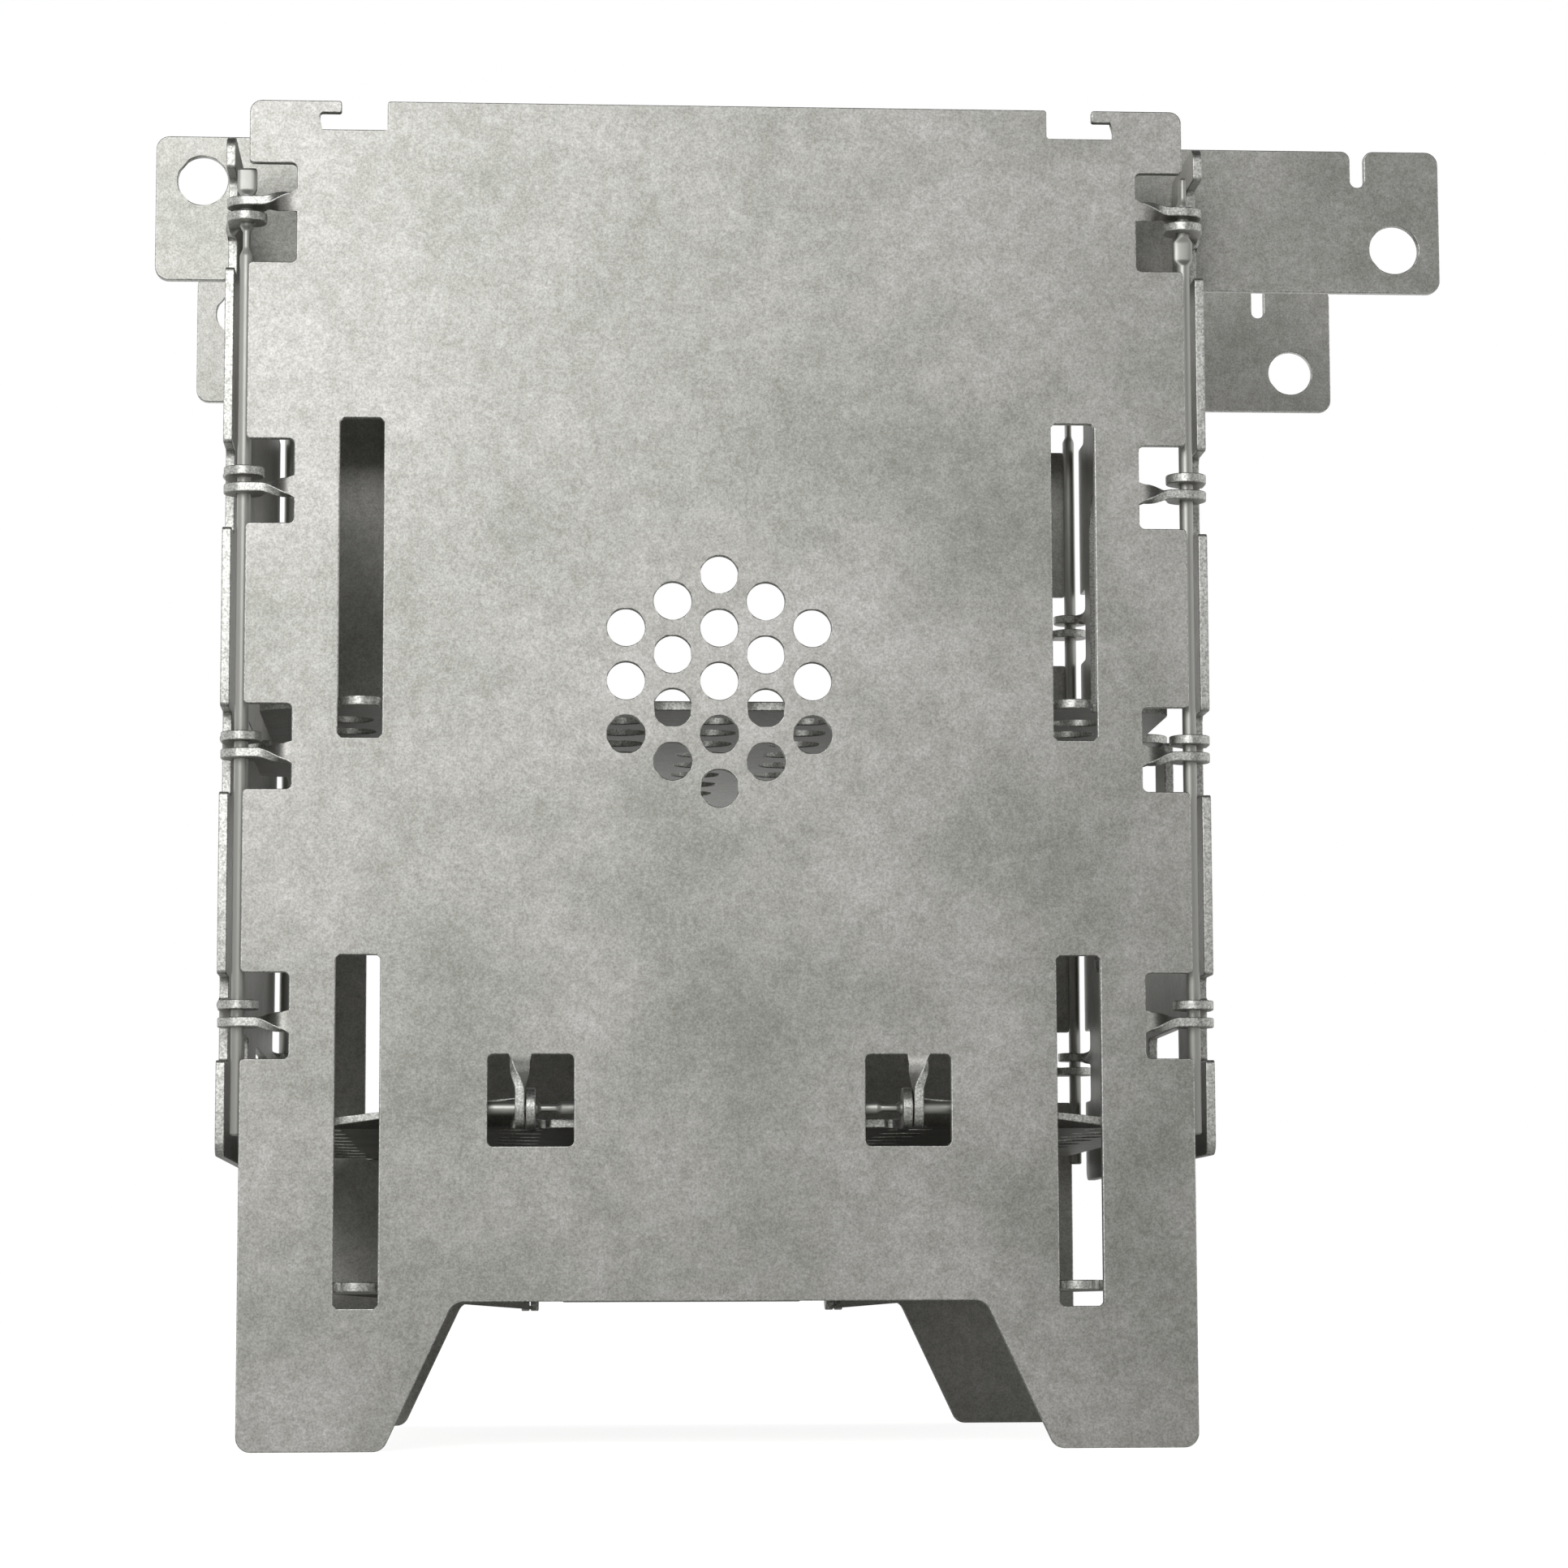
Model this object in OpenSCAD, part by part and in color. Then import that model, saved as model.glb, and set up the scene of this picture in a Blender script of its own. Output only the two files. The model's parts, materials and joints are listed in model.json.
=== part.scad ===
// Folding twig stove: four sheet steel walls on thin corner rods, a hinged grate, a loose
// perforated plate, a hinged ash plate, and two pot bars dropped into slots in the side walls.
// X runs from the left wall to the right wall, Y from the front wall to the back wall, Z up.
// The origin is on the ground, in the middle of the box that holds the whole stove.

/* [Sheet metal] */
// Thickness of the walls, plates and grate
sheet = 1.1; // [1:0.05:1.3]
// Size of the stove over the outer faces of opposite walls
body = 114.5; // [112:0.5:118]
// Width of one wall, from hinge edge to hinge edge
wall_w = 108.8; // [107:0.2:109]

/* [Front and back walls] */
// Height of the front and back walls, feet included
wall_h = 155.3; // [150:0.1:160]
// Radius of the top corners
top_r = 1.4; // [0.5:0.1:3]
// Height of the underside of the crossbar over the leg arch
arch_h = 16.7; // [15:0.1:18]
// Half the width of the leg arch at the ground
arch_foot = 38; // [34:0.5:42]
// How far each side of the arch leans in for each millimetre of height
arch_lean = 0.472; // [0.3:0.002:0.6]
// Radius in the top corners of the arch
arch_r = 1.8; // [1:0.1:3]
// Radius of the outer corner of each foot
foot_r = 1.7; // [0.5:0.1:3]
// Distance from the middle to the tall slots
slot_x = 41.15; // [38:0.05:44]
// Width of the tall slots
slot_w = 5.05; // [4.5:0.05:6]
// Bottom of the lower slots
low_slot_z = 16; // [15:0.1:18]
// Height of the lower slots
low_slot_h = 39.9; // [36:0.1:42]
// Bottom of the upper slots
high_slot_z = 80.8; // [78:0.1:84]
// Height of the upper slots
high_slot_h = 37.1; // [34:0.1:40]
// Radius in the corners of the slots
slot_r = 0.5; // [0.2:0.1:1]

/* [Hooks in the top edge] */
// Distance from the middle to the inner side of a hook notch
hook_in = 38.5; // [36:0.1:40]
// Distance from the middle to the outer side of a hook notch
hook_out = 46.3; // [44:0.1:48]
// Depth of a hook notch below the top edge
hook_depth = 3.4; // [3:0.1:5]
// Length of the hook over the notch
hook_len = 2.5; // [2:0.1:3]
// Thickness of the hook
hook_t = 1.4; // [1:0.1:2]

/* [Vents] */
// Diameter of the vent holes in the middle of the front wall
vent_d = 4.4; // [3:0.1:5]
// Distance between the vent holes
vent_pitch = 6.2; // [5.5:0.1:8]
// Height of the middle of the vent holes
vent_z = 87.5; // [84:0.5:92]

/* [Hinges] */
// Diameter of the hinge rods
rod_d = 1.6; // [1.4:0.05:1.8]
// Radial play of a ring on its rod
play = 0.07; // [0.03:0.01:0.1]
// Outer diameter of a hinge ring
ring_d = 4.7; // [4:0.1:5]
// Distance from the middle of the sheet to the middle of the ring
hinge_off = 1.95; // [1.7:0.05:2.1]
// Width of the strip that carries a ring
strip_w = 2.1; // [1.8:0.1:2.4]
// Length over which a strip twists by a quarter turn
twist_l = 2.9; // [2:0.1:3.2]
// Distance from the middle of the wall to the inner side of the corner windows
win_x = 48.9; // [48:0.1:50]
// Height of the lower three corner windows
win_h = 9.8; // [9:0.1:11]
// Height of the top corner windows
top_win_h = 11.7; // [10:0.1:12]
// Middle of the lowest corner window
win_z = 49; // [47:0.1:51]
// Distance between the lower three corner windows
win_pitch = 30.75; // [29:0.05:32]
// Middle of the top corner windows
top_win_z = 142; // [140:0.1:144]
// Radius in the corners of the windows
win_r = 0.65; // [0.3:0.05:1]
// Half the distance between the two rings of a lower pair
pair_gap = 1; // [0.9:0.05:1.3]
// Half the distance between the two rings of a top pair
top_pair_gap = 0.85; // [0.75:0.05:1]
// Lower end of the corner rods
rod_bottom = 35.5; // [34:0.1:37]
// Upper end of the corner rods
rod_top = 147.7; // [147:0.1:149]
// Width of a rod where it is pinched flat
crimp_w = 2.3; // [2:0.1:2.4]
// Thickness of a rod where it is pinched flat
crimp_t = 0.9; // [0.8:0.05:1.2]

/* [Back wall] */
// Half the width of the back wall's door
back_door_half = 33; // [25:0.5:36]

/* [Side walls] */
// Bottom edge of the side walls
side_bottom = 33.2; // [32:0.1:35]
// Top edge of the side walls
side_top = 151.8; // [150:0.1:154]
// Radius of the corners of the side walls
side_r = 1.6; // [1:0.1:2.5]
// Height of the sill of the fuel door
door_bottom = 61; // [56:0.5:70]
// Height of the top of the fuel door
door_top = 127; // [120:0.5:130]
// Half the width of the fuel door
door_half = 43.6; // [40:0.1:44]
// Radius in the corners of the fuel door
door_r = 4; // [2:0.5:8]
// Distance from the middle to each post in the fuel door
post_y = 21.2; // [19:0.1:24]
// Width of a post
post_w = 8; // [6:0.5:10]
// Half the width of the ear window in the left wall
ear_win_half = 15.5; // [14:0.1:18]
// Height of the ear window in the left wall
ear_win_h = 3.4; // [2.5:0.1:5]
// Width of a low air vent
low_vent_w = 25.2; // [12:0.1:26]
// Bottom of the low air vents
low_vent_z = 38.6; // [37:0.1:40]
// Top of the low air vents
low_vent_top = 49.2; // [48:0.1:51]
// Distance between the low air vents
low_vent_pitch = 41.7; // [22:0.1:42]

/* [Grate] */
// Underside of the grate
grate_z = 36.4; // [36:0.1:38]
// Height of the grate's rod
grate_rod_z = 38.55; // [38:0.05:40]
// Distance from the middle to the windows round the grate's hinges
grate_win_x = 21.5; // [20:0.1:23]
// Width of those windows
grate_win_w = 9.8; // [9:0.1:11]
// Bottom of those windows
grate_win_z = 34.2; // [33:0.1:35]
// Height of those windows
grate_win_h = 10.4; // [9:0.1:11]
// Half the width of the grate and of the plates between the walls
plate_half = 53; // [51:0.1:53.2]
// Diameter of the grate's holes
grate_hole = 5.4; // [3:0.1:6]
// Distance between the grate's holes
grate_pitch = 11.4; // [10:0.1:12]
// Holes along each side of the grate
grate_n = 9; // [7:1:9]

/* [Upper plate] */
// Underside of the upper plate
upper_z = 84.6; // [84:0.1:86]
// Diameter of its holes
upper_hole = 6.4; // [4:0.1:7]
// Distance between its holes
upper_pitch = 10.8; // [10:0.1:11]
// Holes along each side of the upper plate
upper_n = 9; // [7:1:9]
// Half the length of its right ear
ear_right = 25; // [20:0.1:34]
// Half the length of its left ear
ear_left = 15; // [12:0.1:15]
// Radius of its corners
upper_r = 4; // [2:0.5:8]
// Width of the small tabs that poke into the tall slots
tab_w = 4.6; // [4:0.1:4.8]

/* [Ash plate] */
// Underside of the ash plate
ash_z = 17.85; // [17.5:0.05:19]
// Height of the ash plate's rod
ash_rod_z = 17.9; // [17.5:0.05:19]

/* [Pot bars] */
// Length of a bar
bar_l = 155.7; // [150:0.1:158]
// Height of a bar
bar_h = 17.6; // [16:0.1:19]
// Thickness of a bar
bar_t = 1.2; // [1:0.05:1.4]
// Underside of the bars
bar_z = 138.4; // [138:0.1:140]
// Distance from the middle of the stove to each bar
bar_y = 36.85; // [34:0.05:40]
// Left end of the bars, from the middle of the body
bar_left = -66.7; // [-68:0.1:-66]
// Radius of the bars' corners
bar_r = 1.6; // [1:0.1:3]
// Diameter of the holes at the ends
bar_hole = 6; // [5:0.1:7]
// Distance of a hole from the end of its bar
bar_hole_in = 5.6; // [5:0.1:7]
// Distance of a hole from the middle line of its bar
bar_hole_off = 3.4; // [0:0.1:4]
// Distance of a notch from the end of its bar
notch_in = 10; // [9.8:0.05:10.2]
// Width of a notch
notch_w = 1.7; // [1.5:0.05:2]
// Depth of a notch
notch_depth = 4.5; // [4:0.1:6]
// Width of the rounded mouth of a notch
notch_mouth = 3.9; // [3:0.1:5]
// Width of the slots that the bars drop into
bar_slot_w = 2; // [1.8:0.1:3]

/* [Hidden] */
$fn = 48;
half = body / 2;
mid = half - sheet / 2;
rod_at = mid - hinge_off;
bore_d = rod_d + 2 * play;
reach = rod_at - win_x;
// Straight slices that a twisted strip is made of
steps = 6;
body_x = -(bar_left + bar_l / 2);
win_at = [win_z, win_z + win_pitch, win_z + 2 * win_pitch];
pair_lift = 0.3;
top_pair_z = top_win_z + 0.6;
wall_ring_x = grate_win_x + 1.25;
plate_ring_x = grate_win_x;
ash_wall_ring_x = grate_win_x;
ash_plate_ring_x = grate_win_x - 1.25;
pin_half = 30;
ring_reach = grate_win_z + grate_win_h - grate_rod_z;
steel = [0.66, 0.66, 0.64];
bright = [0.80, 0.80, 0.78];

// A rectangle with rounded corners, its middle at the origin
module soft_rect(w, h, r) {
    square([w - 2 * r, h], center = true);
    square([w, h - 2 * r], center = true);
    for (x = [-1, 1], y = [-1, 1]) translate([x * (w / 2 - r), y * (h / 2 - r)]) circle(r);
}

// Points of an arc round c, from angle a0 to angle a1
function arc(c, r, a0, a1) = [for (i = [0 : 8]) c + r * [cos(a0 + (a1 - a0) * i / 8), sin(a0 + (a1 - a0) * i / 8)]];

// A tall wall's outer edge, with its two feet and the arch between them
module feet_and_arch() {
    w = wall_w / 2;
    phi = atan(arch_lean);
    fillet = arch_foot - arch_lean * (arch_h - arch_r) - arch_r / cos(phi);
    toe = arch_foot - arch_lean * foot_r + foot_r / cos(phi);
    polygon(concat(
        arc([-w + foot_r, foot_r], foot_r, 180, 270),
        arc([-toe, foot_r], foot_r, 270, 360 - phi),
        arc([-fillet, arch_h - arch_r], arch_r, 180 - phi, 90),
        arc([fillet, arch_h - arch_r], arch_r, 90, phi),
        arc([toe, foot_r], foot_r, 180 + phi, 270),
        arc([w - foot_r, foot_r], foot_r, 270, 360),
        arc([w - top_r, wall_h - top_r], top_r, 0, 90),
        arc([-w + top_r, wall_h - top_r], top_r, 90, 180)));
}

// A notch in the top edge that leaves a small hook on its outer side
module hook_notch() {
    translate([hook_in, wall_h - hook_depth]) square([hook_out - hook_len - hook_in, hook_depth + 1]);
    translate([hook_in, wall_h - hook_depth]) square([hook_out - hook_in, hook_depth - hook_t]);
}

// Windows at both edges of a wall that make room for the hinge rings
module corner_windows() {
    for (s = [-1, 1]) {
        for (z = win_at) translate([s * (win_x + 6), z]) soft_rect(12, win_h, win_r);
        translate([s * (win_x + 6), top_win_z]) soft_rect(12, top_win_h, win_r);
    }
}

// Outline that the front wall and the back wall share, with a pair of slots from low_z upwards
module tall_outline(low_z) {
    difference() {
        feet_and_arch();
        corner_windows();
        for (s = [0, 1]) mirror([s, 0]) {
            hook_notch();
            translate([slot_x, low_z + low_slot_h / 2]) soft_rect(slot_w, low_slot_h, slot_r);
        }
    }
}

// Six-sided group of round vent holes
module vents() {
    for (i = [-2 : 2], j = [-2 : 2]) if (abs(i + j) < 3)
        translate([i * vent_pitch * sin(60), (j + i / 2) * vent_pitch]) circle(d = vent_d);
}

// A strip along +X that twists by a quarter turn and ends in a flat ring.
// The ring's middle is at [length, hinge_off, 0]; turn 1 brings the strip's lower edge forward.
module ring_strip(length, turn) {
    side = strip_w / 2 - sheet / 2 + 0.1;
    difference() {
        union() {
            translate([-0.1, 0, 0]) cube([0.8, sheet, strip_w], center = true);
            for (i = [0 : steps - 1]) translate([0.25 + i * twist_l / steps, side * (i + 0.5) / steps, 0])
                rotate([turn * 90 * (i + 0.5) / steps, 0, 0])
                    translate([0, -sheet / 2, -strip_w / 2]) cube([twist_l / steps + 0.1, sheet, strip_w]);
            translate([twist_l + 0.2, side - strip_w / 2, -sheet / 2])
                cube([length - twist_l - 0.2, strip_w, sheet]);
            translate([length, hinge_off, -sheet / 2]) cylinder(d = ring_d, h = sheet);
        }
        translate([length, hinge_off, -sheet]) cylinder(d = bore_d, h = 2 * sheet);
    }
}

// All eight corner rings of a wall that stands like the front wall
module corner_rings(gap, top_gap, turn) {
    for (s = [0, 1]) mirror([s, 0, 0]) {
        for (z = win_at) translate([win_x, -mid, z + pair_lift + gap]) ring_strip(reach, turn);
        translate([win_x, -mid, top_pair_z + top_gap]) ring_strip(reach, -turn);
    }
}

// A wall outline raised into sheet at the front wall's place
module sheet_wall() {
    translate([0, -half + sheet, 0]) rotate([90, 0, 0]) linear_extrude(height = sheet) children();
}

// A ring strip that hangs from a window's top edge; its ring faces sideways
module hanging_ring(x, z) {
    for (s = [0, 1]) mirror([s, 0, 0])
        translate([x, -mid, z + ring_reach]) rotate([0, 90, 0]) ring_strip(ring_reach, -1);
}

module front_wall() {
    color(steel) translate([body_x, 0, 0]) {
        sheet_wall() difference() {
            tall_outline(low_slot_z);
            translate([0, vent_z]) vents();
            for (s = [-1, 1]) {
                translate([s * slot_x, high_slot_z + high_slot_h / 2]) soft_rect(slot_w, high_slot_h, slot_r);
                translate([s * grate_win_x, grate_win_z + grate_win_h / 2])
                    soft_rect(grate_win_w, grate_win_h, win_r);
            }
        }
        corner_rings(-pair_gap, top_pair_gap, 1);
        hanging_ring(wall_ring_x, grate_rod_z);
    }
}

module back_wall() {
    color(steel) translate([body_x, 0, 0]) rotate([0, 0, 180]) {
        sheet_wall() difference() {
            tall_outline(grate_z);
            translate([0, (door_top + door_bottom) / 2]) soft_rect(2 * back_door_half, door_top - door_bottom, door_r);
            for (s = [-1, 1]) translate([s * ash_wall_ring_x, ash_rod_z + ring_reach - grate_win_h / 2])
                soft_rect(grate_win_w, grate_win_h, win_r);
        }
        corner_rings(-pair_gap, top_pair_gap, 1);
        hanging_ring(ash_wall_ring_x, ash_rod_z);
    }
}

// Outline that both side walls share: bar slots in the top edge down to slot_z, and low air vents
module side_outline(slot_z) {
    difference() {
        translate([0, (side_top + side_bottom) / 2]) soft_rect(wall_w, side_top - side_bottom, side_r);
        corner_windows();
        for (s = [-1, 1]) translate([s * bar_y - bar_slot_w / 2, slot_z])
            square([bar_slot_w, side_top - slot_z + 1]);
        for (i = [-1, 1]) translate([i * low_vent_pitch / 2, (low_vent_z + low_vent_top) / 2])
            soft_rect(low_vent_w, low_vent_top - low_vent_z, win_r);
    }
}

// One post in the fuel door; the upper plate rests on its top
module post() {
    translate([-post_w / 2, door_bottom - 1]) square([post_w, upper_z - door_bottom + 1]);
}

module right_wall() {
    color(steel) translate([body_x, 0, 0]) rotate([0, 0, 90]) {
        sheet_wall() difference() {
            side_outline(bar_z);
            difference() {
                translate([0, (door_top + door_bottom) / 2])
                    soft_rect(2 * door_half, door_top - door_bottom, door_r);
                for (s = [0, 1]) mirror([s, 0]) translate([post_y, 0]) post();
            }
        }
        corner_rings(pair_gap, -top_pair_gap, -1);
    }
}

module left_wall() {
    color(steel) translate([body_x, 0, 0]) rotate([0, 0, -90]) {
        sheet_wall() difference() {
            side_outline(bar_z + notch_depth - 0.25);
            translate([0, upper_z + ear_win_h / 2]) soft_rect(2 * ear_win_half, ear_win_h, win_r);
        }
        corner_rings(pair_gap, -top_pair_gap, -1);
    }
}

// A corner rod, pinched flat above and below the top pair of rings and turned about its own length
module corner_rod(sx, sy, turn) {
    head = 2.9;
    neck_top = top_pair_z - top_pair_gap - sheet / 2 - 0.3;
    color(bright) translate([body_x + sx * rod_at, sy * rod_at, 0]) rotate([0, 0, turn]) {
        translate([0, 0, rod_bottom]) cylinder(d = rod_d, h = neck_top - head - rod_bottom);
        translate([0, 0, neck_top - head - 0.1]) cylinder(d = crimp_t, h = rod_top - neck_top + head);
        translate([-crimp_t / 2, -crimp_w / 2, neck_top - head]) cube([crimp_t, crimp_w, head - 0.4]);
        translate([0, 0, neck_top - 0.4]) cylinder(d = rod_d, h = rod_top - head - neck_top + 0.4);
        translate([-crimp_w / 2, -crimp_t / 2, rod_top - head]) cube([crimp_w, crimp_t, head]);
    }
}

module front_left_rod() { corner_rod(-1, -1, 0); }
module front_right_rod() { corner_rod(1, -1, 90); }
module back_left_rod() { corner_rod(-1, 1, 0); }
module back_right_rod() { corner_rod(1, 1, 0); }

// A hinge rod along X, pinched flat on the inner side of both ring pairs
module cross_rod(crimp_x) {
    color(bright) translate([body_x, 0, 0]) {
        for (s = [0, 1]) mirror([s, 0, 0]) {
            translate([crimp_x, 0, 0]) rotate([0, 90, 0]) cylinder(d = rod_d, h = pin_half - crimp_x);
            translate([crimp_x - 2.2, -crimp_w / 2, -crimp_t / 2]) cube([2.3, crimp_w, crimp_t]);
        }
        rotate([0, 90, 0]) cylinder(d = rod_d, h = 2 * (crimp_x - 2.1), center = true);
    }
}

// A sheet plate in the XY plane between z and z + sheet
module flat_plate(z) {
    translate([body_x, 0, z]) linear_extrude(height = sheet) children();
}

// A square with cut corners
module cut_square(w, cut) {
    k = w - cut;
    polygon([[-k, -w], [k, -w], [w, -k], [w, k], [k, w], [-k, w], [-w, k], [-w, -k]]);
}

// A square field of round holes
module hole_field(n, pitch, d) {
    for (i = [0 : n - 1], j = [0 : n - 1])
        translate([(i - (n - 1) / 2) * pitch, (j - (n - 1) / 2) * pitch]) circle(d = d);
}

// Two ring strips on the front edge of a plate at height z, their rings on a rod at rod_z
module plate_rings(x, z, rod_z, root_y) {
    drop = rod_z - z - sheet / 2;
    for (s = [0, 1]) mirror([s, 0, 0]) translate([x, 0, z + sheet / 2]) {
        difference() {
            union() {
                translate([-strip_w / 2, -root_y - 0.3, -sheet / 2]) cube([strip_w, 0.9, sheet]);
                for (i = [0 : steps - 1]) translate([0, -root_y - 0.15 - i * 1.6 / steps, 0])
                    rotate([0, 90 * (i + 0.5) / steps, 0])
                        translate([-strip_w / 2, -1.6 / steps - 0.1, -sheet / 2])
                            cube([strip_w, 1.6 / steps + 0.1, sheet]);
                translate([-sheet / 2, -rod_at, drop]) rotate([0, 90, 0]) cylinder(d = ring_d, h = sheet);
                translate([-sheet / 2, -rod_at, -strip_w / 2]) cube([sheet, rod_at - root_y - 1.7, strip_w]);
            }
            translate([-sheet, -rod_at, drop]) rotate([0, 90, 0]) cylinder(d = bore_d, h = 2 * sheet);
        }
    }
}

module grate() {
    front = 52.3;
    root = 50.2;
    color(steel) {
        flat_plate(grate_z) difference() {
            union() {
                cut_square(front, 6);
                translate([-plate_half, -46]) square([2 * plate_half, 92]);
                mirror([0, 1]) slot_tabs(front - 1);
            }
            for (s = [-1, 1]) translate([s * (plate_ring_x + 0.15) - 2.15, -60]) square([4.3, 60 - root]);
            hole_field(grate_n, grate_pitch, grate_hole);
        }
        translate([body_x, 0, 0]) plate_rings(plate_ring_x, grate_z, grate_rod_z, root);
    }
}

module grate_rod() { translate([0, -rod_at, grate_rod_z]) cross_rod(plate_ring_x - sheet / 2 - 0.15); }
module ash_plate_rod() { translate([0, rod_at, ash_rod_z]) cross_rod(ash_plate_ring_x - sheet / 2 - 0.15); }

// Small tabs with rounded ends that poke into the tall slots of the wall at -Y
module slot_tabs(front) {
    for (s = [-1, 1]) translate([s * slot_x, -half + 0.3 + tab_w / 2]) {
        circle(d = tab_w);
        translate([-tab_w / 2, 0]) square([tab_w, half - front]);
    }
}

module ash_plate() {
    root = 50.2;
    color(steel) {
        flat_plate(ash_z) difference() {
            union() {
                translate([0, -0.2]) cut_square(52.8, 5);
                slot_tabs(52);
            }
            for (s = [-1, 1]) translate([s * (ash_plate_ring_x + 0.6) - 2.3, root]) square([4.6, 10]);
        }
        translate([body_x, 0, 0]) mirror([0, 1, 0]) plate_rings(ash_plate_ring_x, ash_z, ash_rod_z, root);
    }
}

module upper_plate() {
    color(steel) flat_plate(upper_z) difference() {
        union() {
            soft_rect(2 * plate_half, 2 * plate_half, upper_r);
            slot_tabs(52);
            translate([plate_half, 0]) soft_rect(8, 2 * ear_right, 3.5);
            translate([-plate_half, 0]) soft_rect(8, 2 * ear_left, 3.5);
        }
        hole_field(upper_n, upper_pitch, upper_hole);
    }
}

// Half of what is cut from a bar: its hole and a notch from its lower edge near the left end
module bar_cuts() {
    translate([bar_hole_in - bar_l / 2, bar_hole_off]) circle(d = bar_hole);
    translate([notch_in - bar_l / 2, -bar_h / 2]) {
        translate([-notch_w / 2, -1]) square([notch_w, notch_depth - notch_w / 2 + 1]);
        translate([0, notch_depth - notch_w / 2]) circle(d = notch_w);
        difference() {
            translate([-notch_mouth / 2, -1]) square([notch_mouth, 1 + (notch_mouth - notch_w) / 2]);
            for (s = [-1, 1]) translate([s * notch_mouth / 2, (notch_mouth - notch_w) / 2])
                circle(d = notch_mouth - notch_w);
        }
    }
}

// A pot bar; turned half round in its own plane, it is the same again
module bar(y) {
    color(steel) translate([0, y + bar_t / 2, bar_z + bar_h / 2]) rotate([90, 0, 0])
        linear_extrude(height = bar_t) difference() {
            soft_rect(bar_l, bar_h, bar_r);
            for (a = [0, 180]) rotate(a) bar_cuts();
        }
}

module front_bar() { bar(-bar_y); }
module back_bar() { bar(bar_y); }

front_wall();
back_wall();
left_wall();
right_wall();
front_left_rod();
front_right_rod();
back_left_rod();
back_right_rod();
grate();
grate_rod();
ash_plate();
ash_plate_rod();
upper_plate();
front_bar();
back_bar();
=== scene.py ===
"""A folding twig stove of tumbled stainless sheet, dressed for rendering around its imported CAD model.
Lengths are in millimetres and become metres where a mesh or a light is made. Right is +X, back is +Y, up is +Z."""

import json
import math

import bpy
import numpy as np
from mathutils import Matrix, Vector
from mathutils.geometry import delaunay_2d_cdt


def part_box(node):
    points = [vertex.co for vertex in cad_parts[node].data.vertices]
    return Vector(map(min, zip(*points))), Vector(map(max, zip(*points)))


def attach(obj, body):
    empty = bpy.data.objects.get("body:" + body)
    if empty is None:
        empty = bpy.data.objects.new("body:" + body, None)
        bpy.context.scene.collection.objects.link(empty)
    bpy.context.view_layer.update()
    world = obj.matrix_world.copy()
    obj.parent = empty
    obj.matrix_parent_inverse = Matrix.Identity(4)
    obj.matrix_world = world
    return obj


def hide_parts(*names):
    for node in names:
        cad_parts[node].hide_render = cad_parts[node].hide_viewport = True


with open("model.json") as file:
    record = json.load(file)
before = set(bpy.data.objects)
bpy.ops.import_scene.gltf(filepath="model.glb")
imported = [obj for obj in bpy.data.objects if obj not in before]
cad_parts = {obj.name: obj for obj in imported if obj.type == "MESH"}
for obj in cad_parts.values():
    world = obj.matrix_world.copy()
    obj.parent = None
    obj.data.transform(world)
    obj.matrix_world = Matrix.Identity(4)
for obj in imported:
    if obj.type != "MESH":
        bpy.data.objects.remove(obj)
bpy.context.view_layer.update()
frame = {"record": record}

# Camera. It stands low in front of the stove, a little left of its middle, and looks slightly up with a long lens.
IMAGE = 1932
CAMERA_AT = (-35.4, -571.8, 16.2)
YAW, PITCH, ROLL = 0.0658, 0.1210, -0.0037
FOCAL_PX = 5570.2
CENTRE_PX = (990.1, 930.8)

right = np.array([math.cos(YAW), -math.sin(YAW), 0.0])
ahead = np.array([math.sin(YAW) * math.cos(PITCH), math.cos(YAW) * math.cos(PITCH), math.sin(PITCH)])
up = np.cross(right, ahead)
rolled_right = math.cos(ROLL) * right + math.sin(ROLL) * up
rolled_up = -math.sin(ROLL) * right + math.cos(ROLL) * up
lens = bpy.data.cameras.new("camera")
lens.sensor_width = 36.0
lens.lens = lens.sensor_width * FOCAL_PX / IMAGE
lens.shift_x = (IMAGE / 2 - CENTRE_PX[0]) / IMAGE
lens.shift_y = (CENTRE_PX[1] - IMAGE / 2) / IMAGE
lens.clip_start = 0.01
lens.clip_end = 50.0
camera = bpy.data.objects.new("camera", lens)
bpy.context.scene.collection.objects.link(camera)
turned = Matrix(np.column_stack([rolled_right, rolled_up, -ahead]).tolist()).to_4x4()
camera.matrix_world = Matrix.Translation([v / 1000 for v in CAMERA_AT]) @ turned
bpy.context.scene.camera = camera


# Front wall. It is cut from 1.1 mm stainless sheet, feet, windows and slots in one go, and tumbled until its
# edges are round. Narrow strips left standing in its windows are then twisted by a quarter turn, each with
# its ring, so that the rings lie flat round the hinge rods.
SHEET = 1.1
BODY = 114.5
BODY_X = 1000 * (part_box("front_wall")[0][0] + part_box("front_wall")[1][0]) / 2
EDGE_ROUND = 0.15
WALL_W = 108.8
WALL_H = 155.3
STRIP_W = 2.1
RING_R = 2.35
RING_HOLE_R = 0.87
HINGE_OFF = 1.95
ROD_AT = BODY / 2 - SHEET / 2 - HINGE_OFF
WINDOW_X = 48.9
WINDOW_R = 0.65
WINDOW_Z = (49.0, 79.75, 110.5)
WINDOW_H = 9.8
TOP_WINDOW_Z = 142.0
TOP_WINDOW_H = 11.7
PAIR_LIFT, PAIR_GAP = 0.3, 1.0
TOP_PAIR_LIFT, TOP_PAIR_GAP = 0.6, 0.85
GRATE_WINDOW_X, GRATE_WINDOW_W = 21.5, 9.8
GRATE_WINDOW_Z = (34.2, 44.6)
GRATE_Z, GRATE_ROD_Z = 36.4, 38.55
SLOT_X, SLOT_W, SLOT_H = 41.15, 5.05, 39.9
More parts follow.
